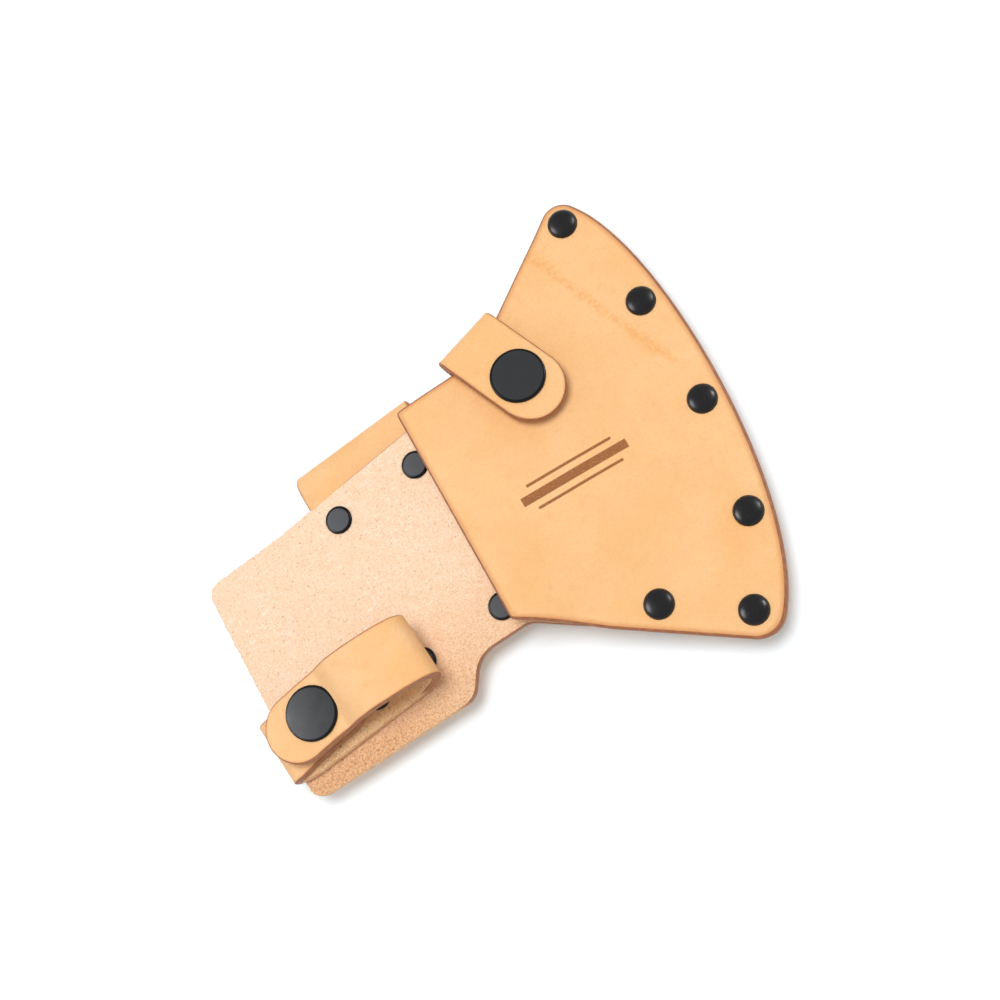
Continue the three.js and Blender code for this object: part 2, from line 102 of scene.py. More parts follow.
def mouth_lift(x, y):
    """How far the front panel stands off the stack: nothing over the welt, most at the mouth."""
    x, y = np.asarray(x, float), np.asarray(y, float)
    from_edge = 169 - np.hypot(x + 115.5, y - 5.8)  # inside a circle along the welt's inner edge
    a, b = np.array([16, -51.5]), np.array([45, -70.0])  # the welt's foot, along the lower edge
    t = np.clip(((x - a[0]) * (b - a)[0] + (y - a[1]) * (b - a)[1]) / ((b - a) @ (b - a)), 0, 1)
    from_foot = np.hypot(x - a[0] - t * (b - a)[0], y - a[1] - t * (b - a)[1]) - 15
    room = np.clip(np.minimum(from_edge, from_foot), 0, None)
    return MOUTH_LIFT * room / (room + np.clip(x - MOUTH_X, 0.01, None))


def back_top(x, y):
    return back_underside(x) + LEATHER


def front_top(x, y):
    return back_underside(x) + 2 * PITCH + mouth_lift(x, y) + LEATHER


def surface_frame(x, y, height, heading=0.0):
    """Columns: along the heading, to its left, the surface normal; then the origin."""
    step = 0.5
    slope_x = float(height(x + step, y) - height(x - step, y))
    slope_y = float(height(x, y + step) - height(x, y - step))
    normal = unit([-slope_x, -slope_y, 1])
    side = unit(np.cross(normal, [math.cos(heading), math.sin(heading), 0]))
    return np.column_stack([np.cross(side, normal), side, normal]), np.array([x, y, float(height(x, y))])


def upright(x, y, z):
    return np.eye(3), np.array([x, y, z], float)


# ---- Plan outlines --------------------------------------------------------------------------
def filleted(corners):
    """An open line through (x, y) corners; a third number rounds the corner to that radius."""
    points = []
    for i, corner in enumerate(corners):
        here = np.array(corner[:2], float)
        if len(corner) < 3 or i in (0, len(corners) - 1):
            points.append(here)
            continue
        radius = corner[2]
        before = unit(np.array(corners[i - 1][:2]) - here)
        after = unit(np.array(corners[i + 1][:2]) - here)
        half = math.acos(np.clip(before @ after, -1, 1)) / 2
        centre = here + unit(before + after) * radius / math.sin(half)
        start = here + before * radius / math.tan(half) - centre
        end = here + after * radius / math.tan(half) - centre
        first = math.atan2(start[1], start[0])
        sweep = math.atan2(start[0] * end[1] - start[1] * end[0], start @ end)
        for t in np.linspace(0, 1, max(3, int(abs(sweep) / 0.06))):
            angle = first + sweep * t
            points.append(centre + radius * np.array([math.cos(angle), math.sin(angle)]))
    return points


# The cutting edge is a Bezier curve from the upper to the lower corner.
CRESCENT = np.array([[58.7, 56.8], [72.9, 32], [68.8, -44.7], [49.7, -67.5]])
UPPER_CORNER, LOWER_CORNER = (55.8, 63.5, 5.6), (45.9, -72.8, 6.6)
WAIST = (15.5, 32.8, 30)  # at the closing strap


def bezier(a, b, c, d):
    t = np.linspace(0, 1, 81)[1:-1, None]
    return list((1 - t) ** 3 * a + 3 * (1 - t) ** 2 * t * b + 3 * (1 - t) * t**2 * c + t**3 * d)


def blade_outline(rear_corners):
    corners = [CRESCENT[3], LOWER_CORNER, *rear_corners, WAIST, UPPER_CORNER, CRESCENT[0]]
    return filleted(corners) + bezier(*CRESCENT)


FRONT_OUTLINE = blade_outline([(-4.5, -37, 12), (MOUTH_X, -33.6, 1.2), (MOUTH_X, 31.7, 1.0)])
BACK_OUTLINE = blade_outline([
    (-8.5, -34.2, 7), (-25, -34.4, 9), (-31.5, -43.9, 6), (-84, -44.6, 4.5),
    (-84.6, 23.6, 4), (-60, 24.6, 200), (-14, 29.6, 60),
])
WELT_OUTLINE = (
    filleted([(14.5, -50.6), LOWER_CORNER, CRESCENT[3]]) + bezier(*CRESCENT[::-1])
    + filleted([CRESCENT[0], UPPER_CORNER, (46.8, 56.38)])
    + filleted([(46.5, 54), (52.5, 36, 30), (54.2, 4, 120), (50, -40, 40), (42, -55.5, 6), (28, -43, 8),
                (14.5, -45)])
)


def evenly(points, spacing, closed=True):
    """The same line with points at nearly this spacing."""
    points = np.array(points, float)
    loop = np.vstack([points, points[:1]]) if closed else points
    length = np.concatenate([[0], np.cumsum(np.linalg.norm(np.diff(loop, axis=0), axis=1))])
    count = max(3, round(length[-1] / spacing))
    at = np.linspace(0, length[-1], count + 1)
    out = np.column_stack([np.interp(at, length, loop[:, k]) for k in range(loop.shape[1])])
    return out[:-1] if closed else out


def slanted(outline, spread):
    """Moves the blade's lower corner outwards, and the edges beside it less: the stack was sanded at a slant."""
    rim = evenly(outline, 1.0)
    along = unit(np.roll(rim, -1, axis=0) - np.roll(rim, 1, axis=0))
    outward = np.column_stack([along[:, 1], -along[:, 0]])
    outward *= np.sign(np.sum(outward * (rim - [20, 0])))
    share = np.clip(SLANT_GAIN * outward @ SLANT_TOWARDS + SLANT_BIAS, 0, 1) * (rim[:, 0] > SLANT_FROM_X)
    window = range(-SLANT_SMOOTHING, SLANT_SMOOTHING + 1)
    share = sum(np.roll(share, k) for k in window) / len(window)
    return rim + outward * (spread * share)[:, None]


def inside(points, polygon):
    """Which points lie inside the polygon."""
    x, y = points[:, 0], points[:, 1]
    hit = np.zeros(len(points), bool)
    for (x0, y0), (x1, y1) in zip(polygon, np.roll(polygon, -1, axis=0)):
        if y0 == y1:
            continue
        crossing = (y0 > y) != (y1 > y)
        hit ^= crossing & (x < (x1 - x0) * (y - y0) / (y1 - y0) + x0)
    return hit


def nearest(points, targets, batch=64):
    """Each point's distance to the nearest target."""
    best = np.full(len(points), np.inf)
    for start in range(0, len(targets), batch):
        gap = np.linalg.norm(points[:, None] - targets[None, start:start + batch], axis=2)
        best = np.minimum(best, gap.min(axis=1))
    return best


# ---- Sheets of leather ----------------------------------------------------------------------
TOP, BOTTOM, CUT_EDGE = range(3)  # the material slots of a sheet


def leather_data(outline, thickness, grid, round_over, fray):
    """A flat sheet with rounded, slightly barrelled edges, as points (u, v, w), faces, slots and outline."""
    rim = evenly(outline, RIM_SPACING)
    if fray is not None:
        rim = rim + np.random.default_rng(5).normal(0, RAW_EDGE_SCATTER, rim.shape) * fray(rim)[:, None]
    ahead, behind = np.roll(rim, -1, axis=0), np.roll(rim, 1, axis=0)
    if np.sum(rim[:, 0] * ahead[:, 1] - ahead[:, 0] * rim[:, 1]) < 0:
        rim = rim[::-1]
        ahead, behind = np.roll(rim, -1, axis=0), np.roll(rim, 1, axis=0)
    along = unit(ahead - behind)
    inward = np.column_stack([-along[:, 1], along[:, 0]])
    half = thickness / 2
    quarter = np.linspace(math.pi / 2, 0, 5)
    upper, lower = ([(r * (1 - math.cos(a)), half - r * (1 - math.sin(a))) for a in quarter]
                    for r in round_over)
    profile = upper + [(-BARREL, half * 0.3), (-BARREL, -half * 0.3)]
    profile += [(inset, -w) for inset, w in reversed(lower)]
    rings = [np.column_stack([rim + inward * inset, np.full(len(rim), w)]) for inset, w in profile]

    inner = rings[0][:, :2]
    du, dv = grid
    us = np.arange(inner[:, 0].min() + du / 2, inner[:, 0].max(), du)
    vs = np.arange(inner[:, 1].min() + dv / 2, inner[:, 1].max(), dv)
    staggered = du == dv
    lattice = np.array([(u + (du / 2 if staggered and j % 2 else 0), v) for j, v in enumerate(vs) for u in us])
    lattice = lattice[inside(lattice, inner)]
    lattice = lattice[nearest(lattice, inner) > 0.45 * min(du, dv)]
    flat = [Vector(p) for p in inner] + [Vector(p) for p in lattice]
    count = len(inner)
    loop = [(i, (i + 1) % count) for i in range(count)]
    verts, _, tris, *_ = delaunay_2d_cdt(flat, loop, [list(range(count))], 1, 1e-5)
    assert len(verts) == len(flat)
    top = np.column_stack([np.array([v[:] for v in verts]), np.full(len(verts), half)])
    bottom = top * [1, 1, -1]
    points = np.vstack([top, *rings[1:-1], bottom])
    faces, kinds = [], []
    for tri in tris:
        faces.append(tuple(tri))
        kinds.append(TOP)
    shift = len(top) + count * (len(rings) - 2)
    for tri in tris:
        faces.append(tuple(shift + k for k in reversed(tri)))
        kinds.append(BOTTOM)
    starts = [0] + [len(top) + count * k for k in range(len(rings) - 2)] + [shift]
    last = len(starts) - 2
    for row, (above, below) in enumerate(zip(starts, starts[1:])):
        for i, j in loop:
            faces.append((below + i, below + j, above + j, above + i))
            kinds.append(TOP if row == 0 else BOTTOM if row == last else CUT_EDGE)
    return points, faces, np.array(kinds), rim


def mesh_object(name, points, faces, kinds, materials, attributes):
    mesh = bpy.data.meshes.new(name)
    mesh.from_pydata([tuple(p) for p in to_row(points)], [], faces)
    for material in materials:
        mesh.materials.append(material)
    mesh.polygons.foreach_set("material_index", kinds.astype(np.int32))
    mesh.polygons.foreach_set("use_smooth", np.ones(len(faces), bool))
    for key, (kind, values) in attributes.items():
        layer = mesh.attributes.new(key, kind, "POINT")
        field = "vector" if kind == "FLOAT_VECTOR" else "value"
        layer.data.foreach_set(field, np.asarray(values, np.float32).ravel())
    mesh.update()
    obj = bpy.data.objects.new(name, mesh)
    bpy.context.scene.collection.objects.link(obj)
    return obj


def leather(name, outline, place, thickness, grid, materials, burnish=None, round_over=(0.55, 0.55), fray=None):
    """A sheet made flat and then put in place; the shaders read its flat position, rim depth and burnish."""
    points, faces, kinds, rim = leather_data(outline, thickness, grid, round_over, fray)
    depth = nearest(points[:, :2], rim)
    burnished = np.ones(len(points)) if burnish is None else burnish(points)
    attributes = {
        "flat": ("FLOAT_VECTOR", points),
        "rim": ("FLOAT", depth),
        "burnish": ("FLOAT", burnished),
    }
    return mesh_object(name, place(points), faces, kinds, materials, attributes)


def split_off(obj, name, keep):
    """Cuts the faces whose flat centre fails keep() out of obj, and returns them as a new object."""
    other = obj.copy()
    other.data = obj.data.copy()
    other.name = other.data.name = name
    bpy.context.scene.collection.objects.link(other)
    flat = np.empty(len(obj.data.vertices) * 3, np.float32)
    obj.data.attributes["flat"].data.foreach_get("vector", flat)
    flat = flat.reshape(-1, 3)
    wanted = np.array([keep(flat[list(p.vertices)].mean(axis=0)) for p in obj.data.polygons])
    for target, drop in ((obj, ~wanted), (other, wanted)):
        bm = bmesh.new()
        bm.from_mesh(target.data)
        bm.faces.ensure_lookup_table()
        bmesh.ops.delete(bm, geom=[f for f, d in zip(bm.faces, drop) if d], context="FACES")
        bm.to_mesh(target.data)
        bm.free()
    return other


# ---- Straps along a route -------------------------------------------------------------------
def chaikin(points, rounds=3):
    """Rounds a line off by cutting its corners."""
    points = np.asarray(points, float)
    for _ in range(rounds):
        a, b = points[:-1], points[1:]
        cut = np.empty((2 * len(a), points.shape[1]))
        cut[0::2] = 0.75 * a + 0.25 * b
        cut[1::2] = 0.25 * a + 0.75 * b
        points = np.vstack([points[:1], cut, points[-1:]])
    return points


class Route:
    """A smooth centre line with a side direction at each point; place() wraps a flat strap along it."""

    def __init__(self, centre, side):
        path = evenly(np.hstack([centre, side]), 0.25, closed=False)
        self.centre, self.side = path[:, :3], unit(path[:, 3:])
        steps = np.linalg.norm(np.diff(self.centre, axis=0), axis=1)
        self.at = np.concatenate([[0], np.cumsum(steps)])
        self.length = self.at[-1]
        tangent = unit(np.gradient(self.centre, axis=0))
        self.side = unit(self.side - tangent * np.sum(tangent * self.side, axis=1, keepdims=True))
        self.normal = np.cross(tangent, self.side)

    def pick(self, values, u):
        return np.column_stack([np.interp(u, self.at, values[:, k]) for k in range(3)])

    def place(self, points):
        u, v, w = points.T
        side, normal = self.pick(self.side, u), self.pick(self.normal, u)
        return self.pick(self.centre, u) + side * v[:, None] + normal * w[:, None]


def strap_outline(length, width, rounded):
    """A flat strip along u with round ends, or square ones with small corners."""
    half, corner = width / 2, 1.2

    def end(at, out):
        if not rounded:
            return filleted([(at - out * 20, -half * out), (at, -half * out, corner), (at, half * out, corner),
                             (at - out * 20, half * out)])[1:-1]
        return [np.array([at - out * half + out * half * math.cos(a), out * half * math.sin(a)])
                for a in np.linspace(-math.pi / 2, math.pi / 2, 41)]

    return end(length, 1) + end(0, -1)


# ---- Turned metal ---------------------------------------------------------------------------
def turned(name, profile, place, material, body, nodes, segments=56, face=None):
    """Revolves a closed [radius, height] profile about the frame's third axis.

    face is (material, radius) for a second material on the crown, inside that radius: a lighter copy of the
    metal that paints a reflection there."""
    basis, origin = place
    profile = np.array(profile, float)
    angles = np.arange(segments) * 2 * math.pi / segments
    points, faces, kinds, rings = [], [], [], []
    widest = int(np.argmax(profile[:, 0]))
    for radius, height in profile:
        if radius < 1e-6:
            rings.append([len(points)])
            points.append([0, 0, height])
            continue
        rings.append(list(range(len(points), len(points) + segments)))
        points += [[radius * math.cos(a), radius * math.sin(a), height] for a in angles]
    for row, (low, high) in enumerate(zip(rings, rings[1:])):
        crown = face is not None and row >= widest and profile[row, 0] <= face[1]
        for i in range(segments):
            j = (i + 1) % segments
            if len(low) == 1:
                faces.append((low[0], high[j], high[i]))
            elif len(high) == 1:
                faces.append((low[i], low[j], high[0]))
            else:
                faces.append((low[i], low[j], high[j], high[i]))
            kinds.append(int(crown))
    points = np.array(points) @ basis.T + origin
    obj = mesh_object(name, points, faces, np.array(kinds), [material, face[0]] if face else [material], {})
    finish(obj, body, nodes)


def arc(cx, cy, radius, start, end, steps):
    return [(cx + radius * math.cos(math.radians(a)), cy + radius * math.sin(math.radians(a)))
            for a in np.linspace(start, end, steps + 1)]


def finish(obj, body, nodes):
    """Rides a body and stands in for CAD nodes; with no body the piece only stands in."""
    if body:
        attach(obj, body)
    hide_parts(*nodes)


# ---- Materials ------------------------------------------------------------------------------
def linear(*display):
    """An 8-bit display colour as linear RGBA."""
    return [(c / 255 / 12.92) if c < 10.3 else ((c / 255 + 0.055) / 1.055) ** 2.4 for c in display] + [1]


class Shader:
    """A Principled material and short ways to add the nodes that feed it."""

    def __init__(self, name, **sockets):
        self.material = bpy.data.materials.new(name)
        self.material.use_nodes = True
        self.tree = self.material.node_tree
        self.surface = self.tree.nodes["Principled BSDF"]
        for socket, value in sockets.items():
            self.surface.inputs[socket.replace("_", " ")].default_value = value
        self.material.diffuse_color = sockets.get("Base_Color", (0.5, 0.5, 0.5, 1))

    def node(self, kind, inputs=None, **props):
        made = self.tree.nodes.new(kind)
        for key, value in props.items():
            setattr(made, key, value)
        for key, value in (inputs or {}).items():
            if isinstance(value, bpy.types.NodeSocket):
                self.tree.links.new(value, made.inputs[key])
            else:
                made.inputs[key].default_value = value
        return made

    def attribute(self, name, output="Fac"):
        return self.node("ShaderNodeAttribute", attribute_name=name).outputs[output]

    def scaled(self, vector, scale, turn=0.0):
        inputs = {0: vector, "Rotation": (0, 0, turn), "Scale": scale}
        return self.node("ShaderNodeMapping", inputs).outputs[0]

    def shifted(self, offset):
        """The flat position, moved so that each material shows another part of the pattern."""
        return self.node("ShaderNodeVectorMath", {0: self.attribute("flat", "Vector"), 1: offset}).outputs[0]

    def noise(self, vector, scale, detail=2.0, roughness=0.5, distortion=0.0):
        inputs = {"Vector": vector, "Scale": scale, "Detail": detail, "Roughness": roughness,
                  "Distortion": distortion}
        return self.node("ShaderNodeTexNoise", inputs).outputs["Fac"]

    def fit(self, value, low, high, to_low=0.0, to_high=1.0):
        """A smooth ramp from to_low at low to to_high at high."""
        inputs = {"Value": value, "From Min": low, "From Max": high, "To Min": to_low, "To Max": to_high}
        return self.node("ShaderNodeMapRange", inputs, interpolation_type="SMOOTHSTEP").outputs["Result"]

    def math(self, operation, a, b=0.0):
        return self.node("ShaderNodeMath", {0: a, 1: b}, operation=operation).outputs[0]

    def mix(self, factor, a, b):
        made = self.node("ShaderNodeMix", data_type="RGBA")
        for socket, value in ((made.inputs[0], factor), (made.inputs[6], a), (made.inputs[7], b)):
            if isinstance(value, bpy.types.NodeSocket):
                self.tree.links.new(value, socket)
            else:
                socket.default_value = value
        return made.outputs[2]

    def bump(self, height, distance, strength):
        inputs = {"Height": height, "Distance": distance, "Strength": strength}
        return self.node("ShaderNodeBump", inputs).outputs[0]

    def feed(self, **sockets):
        for socket, value in sockets.items():
            self.tree.links.new(value, self.surface.inputs[socket.replace("_", " ")])
        return self.material


def grain_leather(name, seed, marks=None, rim_width=1.4):
    """Smooth tan grain: cloudy tone, faint blotches, fine pores, darker burnished rim."""
    s = Shader(name, Roughness=0.5, Specular_IOR_Level=0.35)
    flat = s.shifted((seed, seed * 0.7, 0))
    cloud = s.noise(flat, 0.05, 4, 0.55, 0.3)
    blotch = s.noise(flat, 0.24, 4, 0.6, 0.2)
    fine = s.noise(flat, 1.7, 3, 0.6)
    colour = s.mix(s.fit(cloud, 0.3, 0.72), linear(244, 196, 141), linear(242, 187, 126))
    colour = s.mix(s.fit(blotch, 0.5, 0.8, 0, 0.3), colour, linear(230, 168, 107))
    colour = s.mix(s.fit(fine, 0.4, 0.7, 0, 0.16), colour, linear(216, 150, 92))
    grit = s.noise(flat, 3.6, 2, 0.7)
    colour = s.mix(s.fit(grit, 0.5, 0.68, 0, 0.16), colour, linear(206, 136, 82))
    if marks is not None:
        colour = marks(s, colour)
    depth = s.math("ADD", s.attribute("rim"), s.math("MULTIPLY", blotch, 0.8))
    colour = s.mix(s.fit(depth, 0.2, rim_width, 0.8, 0), colour, linear(198, 120, 66))
    cells = s.node("ShaderNodeTexVoronoi", {"Vector": flat, "Scale": 2.2, "Randomness": 1.0})
    pores = s.fit(cells.outputs["Distance"], 0, 0.35)
    height = s.math("ADD", s.math("MULTIPLY", pores, 0.5), s.math("MULTIPLY", fine, 0.9))
    rough = s.fit(blotch, 0.3, 0.7, 0.46, 0.58)
    return s.feed(Base_Color=colour, Roughness=rough, Normal=s.bump(height, 0.00006, 0.55))


def flesh_leather(name, seed, tones, worn=None):
    """Rough suede: crossing fibres, densely flecked. The tones run from the palest nap to the darkest fleck."""
    s = Shader(name, Roughness=0.95, Specular_IOR_Level=0.15, Sheen_Weight=0.25, Sheen_Roughness=0.6,
               Sheen_Tint=linear(255, 236, 216))
    flat = s.shifted((seed, -seed, 0))
    across = s.noise(s.scaled(flat, (2.6, 0.55, 1), 0.6), 1.0, 4, 0.65, 0.9)
    along = s.noise(s.scaled(flat, (0.5, 2.4, 1), 0.3), 1.0, 4, 0.65, 0.9)
    fibre = s.math("MAXIMUM", across, along)
    grit = s.noise(flat, 2.3, 2, 0.75)
    cloud = s.noise(flat, 0.09, 3, 0.5)
    fleck = s.noise(flat, 1.7, 2, 0.6, 0.6)
    pale, nap, tan, brown = tones
    colour = s.mix(s.fit(fibre, 0.45, 0.72), nap, pale)
    colour = s.mix(s.fit(cloud, 0.35, 0.7, 0, 0.35), colour, nap)
    colour = s.mix(s.fit(grit, 0.48, 0.68, 0, 0.5), colour, tan)
    colour = s.mix(s.fit(fleck, 0.61, 0.72, 0, 0.6), colour, brown)
    if worn is not None:
        colour = worn(s, colour, grit, fleck)
    height = s.math("ADD", fibre, s.math("MULTIPLY", grit, -1.2))
    return s.feed(Base_Color=colour, Normal=s.bump(height, 0.00025, 0.7))


def tanned_edge(s, colour, grit, fleck):
    """The flap's suede deepens past the handle loop, and is orange and coarse along its raw lower edge."""
    x, y, _ = s.node("ShaderNodeSeparateXYZ", {0: s.attribute("flat", "Vector")}).outputs
    deep = s.math("MULTIPLY", s.fit(y, -4, -36), s.fit(x, -66, -34, 0.1, 0.55))
    deeper = s.mix(s.fit(grit, 0.4, 0.62), linear(248, 206, 164), linear(222, 166, 118))
    colour = s.mix(deep, colour, deeper)
    low = s.math("MULTIPLY", s.fit(y, -27, -43), s.fit(x, -30, -62, 0.45, 1))
    warm = s.mix(s.fit(grit, 0.42, 0.6), linear(238, 188, 138), linear(202, 138, 84))
    warm = s.mix(s.fit(fleck, 0.56, 0.68, 0, 0.75), warm, linear(158, 96, 52))
    return s.mix(s.math("MULTIPLY", low, 0.8), colour, warm)


def edge_leather(name):
    """Cut edge: layered lines along it, burnished brown where finished and pale where left raw."""
    s = Shader(name, Roughness=0.45, Specular_IOR_Level=0.35)
    flat = s.attribute("flat", "Vector")
    layers = s.noise(s.scaled(flat, (0.5, 0.5, 2.6)), 1.0, 4, 0.6, 0.4)
    patch = s.noise(flat, 0.35, 3, 0.6)
    dark = s.mix(s.fit(layers, 0.32, 0.7), linear(148, 90, 58), linear(180, 118, 78))
    dark = s.mix(s.fit(patch, 0.4, 0.75, 0, 0.5), dark, linear(162, 98, 62))
    raw = s.mix(s.fit(layers, 0.35, 0.65), linear(230, 180, 132), linear(250, 212, 170))
    raw = s.mix(s.fit(s.noise(flat, 2.4, 2, 0.7), 0.5, 0.64, 0, 0.75), raw, linear(192, 124, 74))
    colour = s.mix(s.attribute("burnish"), raw, dark)
    rough = s.math("SUBTRACT", 0.85, s.math("MULTIPLY", s.attribute("burnish"), 0.38))
    return s.feed(Base_Color=colour, Roughness=rough, Normal=s.bump(layers, 0.0001, 0.6))


GROWTH_LINE_X, GROWTH_LINE_SLOPE = 61.3, 0.38
PATCH_AT = (50, -44, 0)
MARK_X, MARK_Y = 23.0, -8.5
BAR_HALF_LENGTH, BAR_HALF_WIDTH = 15.4, 1.15
THIN_HALF_LENGTH, THIN_HALF_WIDTH, THIN_AWAY = 12.4, 0.3, 3.4


def front_marks(s, colour):
    """A faint broken growth line across the panel, an orange patch, and a plain burned three-line mark."""
    flat = s.attribute("flat", "Vector")
    x, y, _ = s.node("ShaderNodeSeparateXYZ", {0: flat}).outputs
    waver = s.math("MULTIPLY", s.math("SUBTRACT", s.noise(flat, 0.1, 2), 0.5), 5.0)
    line = s.math("ADD", s.math("SUBTRACT", x, GROWTH_LINE_X), s.math("MULTIPLY", y, GROWTH_LINE_SLOPE))
    gap = s.math("ABSOLUTE", s.math("ADD", line, waver))
    broken = s.fit(s.noise(flat, 0.9, 3, 0.7), 0.38, 0.6, 0.15, 1)
    faded = s.math("MULTIPLY", s.fit(y, -4, 10), s.math("MULTIPLY", broken, 0.46))
    colour = s.mix(s.math("MULTIPLY", s.fit(gap, 0.2, 2.2, 1, 0), faded), colour, linear(230, 150, 70))
    from_patch = s.node("ShaderNodeVectorMath", {0: flat, 1: PATCH_AT}, operation="DISTANCE")
    colour = s.mix(s.fit(from_patch.outputs["Value"], 2, 11, 0.22, 0), colour, linear(240, 160, 84))

    def within(distance, half, soft):
        return s.fit(distance, half, half + soft, 1, 0)

    from_middle = s.math("ABSOLUTE", s.math("SUBTRACT", x, MARK_X))
    from_line = s.math("ABSOLUTE", s.math("SUBTRACT", y, MARK_Y))
    from_thin = s.math("ABSOLUTE", s.math("SUBTRACT", from_line, THIN_AWAY))
    bar = s.math("MULTIPLY", within(from_line, BAR_HALF_WIDTH, 0.25),
                 within(from_middle, BAR_HALF_LENGTH, 0.3))
    lines = s.math("MULTIPLY", within(from_thin, THIN_HALF_WIDTH, 0.2),
                   within(from_middle, THIN_HALF_LENGTH, 0.3))
    scorch = s.fit(s.noise(flat, 2.2, 2), 0.25, 0.5, 0.7, 0.95)
    burned = s.math("MULTIPLY", s.math("MAXIMUM", bar, lines), scorch)
    return s.mix(burned, colour, linear(146, 86, 42))


GRAIN = grain_leather("grain_leather", 0)
GRAIN_FRONT = grain_leather("grain_front", 31, front_marks, 2.6)
GRAIN_STRAP = grain_leather("grain_strap", 77)
PALE_SUEDE = [linear(255, 240, 220), linear(251, 214, 179), linear(230, 182, 136), linear(194, 138, 92)]
WARM_SUEDE = [linear(255, 228, 184), linear(248, 200, 148), linear(190, 124, 72), linear(112, 64, 32)]
FLESH = flesh_leather("flesh_leather", 0, PALE_SUEDE)
FLESH_PANEL = flesh_leather("flesh_panel", 12, PALE_SUEDE, tanned_edge)
FLESH_STRAP = flesh_leather("flesh_strap", 40, WARM_SUEDE)
EDGE = edge_leather("leather_edge")


def black_metal(name, roughness, tone, specular):
    """Blackened steel under a thin gloss: faint wear in the sheen, no pattern in the colour."""
    s = Shader(name, Base_Color=tone, Roughness=roughness, Specular_IOR_Level=specular)
    where = s.node("ShaderNodeTexCoord").outputs["Object"]
    wear = s.noise(where, 1800, 3, 0.6)
    soft = s.noise(where, 260, 2, 0.5)
    rough = s.fit(soft, 0.3, 0.7, roughness - 0.05, roughness + 0.07)
    return s.feed(Roughness=rough, Normal=s.bump(wear, 0.00002, 0.25))


# The snap crown and the flat rivet face are lighter grey copies of the black metal, painting a reflection; the
# rim metal is a near-black copy, painting the shade on rolled rims.
SNAP_LIT_CROWN_METAL = black_metal("snap_crown_painted_reflection", 0.34, linear(42, 43, 46), 0.5)
RIVET_METAL = black_metal("rivet_black", 0.3, linear(11, 11, 14), 0.5)
RIVET_LIT_FACE_METAL = black_metal("rivet_face_painted_reflection", 0.42, linear(74, 76, 80), 0.4)
SHADED_RIM_METAL = black_metal("rim_painted_shade", 0.3, linear(6, 6, 8), 0.3)


# ---- Panels and welt ------------------------------------------------------------------------
def on_height(height):
    """Lays a sheet on a height function of x and y."""
    def place(points):
        x, y, w = points.T
        return np.column_stack([x, y, height(x, y) + w])
    return place


def back_burnish(points):
    """The flap's edge was left raw; the blade side is burnished."""
    return 1 - 0.95 * np.clip((-points[:, 0] - 33) / 5, 0, 1)


back = leather("back_leather", slanted(BACK_OUTLINE, -0.3),
               on_height(lambda x, y: back_underside(x) + LEATHER / 2), LEATHER, (2, 2),
               [FLESH_PANEL, GRAIN, EDGE], back_burnish, (0.35, 0.6), fray=lambda rim: 1 - back_burnish(rim))
finish(back, "sheath", ["back_panel"])

front = leather("front_leather", slanted(FRONT_OUTLINE, 0.7),
                on_height(lambda x, y: front_top(x, y) - LEATHER / 2), LEATHER, (2, 2),
                [GRAIN_FRONT, FLESH, EDGE], round_over=(1.0, 0.2))
finish(front, "sheath", ["front_panel"])

welt = leather("welt_leather", slanted(WELT_OUTLINE, 0.25),
               on_height(lambda x, y: back_underside(x) + PITCH + LEATHER / 2), LEATHER, (3, 3),
               [FLESH, FLESH, EDGE], round_over=(0.12, 0.12))
finish(welt, "sheath", ["welt"])

# ---- Belt loop ------------------------------------------------------------------------------
turn_cos, turn_sin = math.cos(BELT_TURN), math.sin(BELT_TURN)


def on_belt(across, along, up):
    """A point given in the belt loop's own directions."""
    return np.array([BELT_CENTRE[0] + across * turn_cos - along * turn_sin,
                     BELT_CENTRE[1] + across * turn_sin + along * turn_cos, up])


inner_up = FLAP_HEIGHT - AIR - BELT_THICKNESS / 2
outer_up = BELT_THICKNESS / 2
fold_radius = (inner_up - outer_up) / 2
belt_plan = [(-29.4, inner_up), (-22, inner_up), (-17, inner_up), (-14.5, inner_up - 0.6),
             (-8.2, outer_up + 0.6), (-5.2, outer_up), (0, outer_up), (20, outer_up), (36, outer_up)]
belt_plan += arc(39.2, outer_up + fold_radius, fold_radius, -90, 90, 8)
belt_plan += [(36, inner_up), (26, inner_up), (16.2, inner_up)]
belt_route = chaikin([np.append(on_belt(0, a, u), [turn_cos, turn_sin, 0]) for a, u in belt_plan])
belt = Route(belt_route[:, :3], belt_route[:, 3:])
belt_crown = belt.at[np.argmax(belt.centre[:, 1])]


def place_belt(points):
    """The strip draws in a little where it turns its hairpin."""
    drawn = points.copy()
    drawn[:, 1] *= 1 - DRAWN_IN * np.exp(-(((points[:, 0] - belt_crown) / DRAWN_REACH) ** 2))
    return belt.place(drawn)


belt_loop = leather("belt_loop_leather", strap_outline(belt.length, BELT_WIDTH, False), place_belt,
                    BELT_THICKNESS, (0.8, 2.4), [GRAIN, FLESH_STRAP, EDGE])
finish(belt_loop, "sheath", ["belt_loop"])


# ---- Closure strap --------------------------------------------------------------------------
def along_closure(distance):
    return CLOSURE_FOLD + distance * np.array([math.cos(CLOSURE_HEADING), math.sin(CLOSURE_HEADING)])


snap_basis, snap_origin = surface_frame(*along_closure(CLOSURE_SNAP_AT), front_top, CLOSURE_HEADING)
rear_basis, rear_origin = surface_frame(*along_closure(CLOSURE_REAR_AT), lambda x, y: back_underside(x),
                                        CLOSURE_HEADING)


def in_frame(basis, origin, along, up, skew=0.0):
    """A route point; the skew turns the strap's cross line, so a fold can lie a little askew."""
    return np.append(origin + basis @ np.array([along, 0, up]), basis[:, 1] + skew * basis[:, 0])


